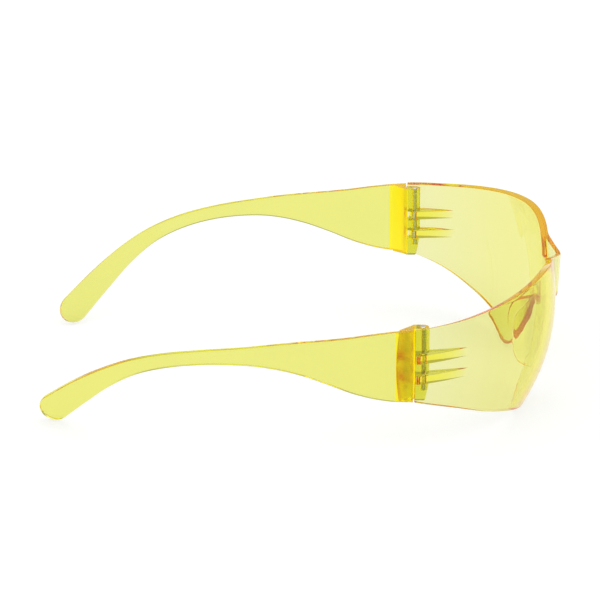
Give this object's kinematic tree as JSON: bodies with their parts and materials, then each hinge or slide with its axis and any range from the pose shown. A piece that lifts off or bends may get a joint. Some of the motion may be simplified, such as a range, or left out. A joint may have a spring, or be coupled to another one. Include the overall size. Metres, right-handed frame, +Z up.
{
  "type": "safety glasses",
  "caption": "Frameless wraparound safety glasses: a clear yellow one-piece lens with a moulded bridge and nose pads, and flat temples that fold on steel hinge pins.",
  "frame": {"origin": "middle of the bounding box at its underside, on the surface that the open glasses stand on", "axes": "+X is the wearer's left, -Y is forwards, the way the wearer looks, and +Z is up"},
  "size_m": [0.146, 0.1676, 0.0473],
  "materials": {
    "yellow_polycarbonate_lens": "polished, clear, tinted through",
    "yellow_polycarbonate_temple": "polished, clear, tinted through",
    "steel_pin": "drawn wire, bright cut ends"
  },
  "bodies": {
    "lens_body": {"lens": "yellow_polycarbonate_lens", "hinge_pin_left": "steel_pin", "hinge_pin_right": "steel_pin"},
    "left_temple_body": {"temple_left": "yellow_polycarbonate_temple"},
    "right_temple_body": {"temple_right": "yellow_polycarbonate_temple"}
  },
  "joints": [
    {"name": "left_temple_fold", "type": "hinge", "parent": "lens_body", "child": "left_temple_body", "pos_m": [0.0674, -0.0375, 0.029], "axis": [0, 0, 1], "range_deg": [0, 78]},
    {"name": "right_temple_fold", "type": "hinge", "parent": "lens_body", "child": "right_temple_body", "pos_m": [-0.0674, -0.0375, 0.029], "axis": [0, 0, -1], "range_deg": [0, 86]}
  ]
}
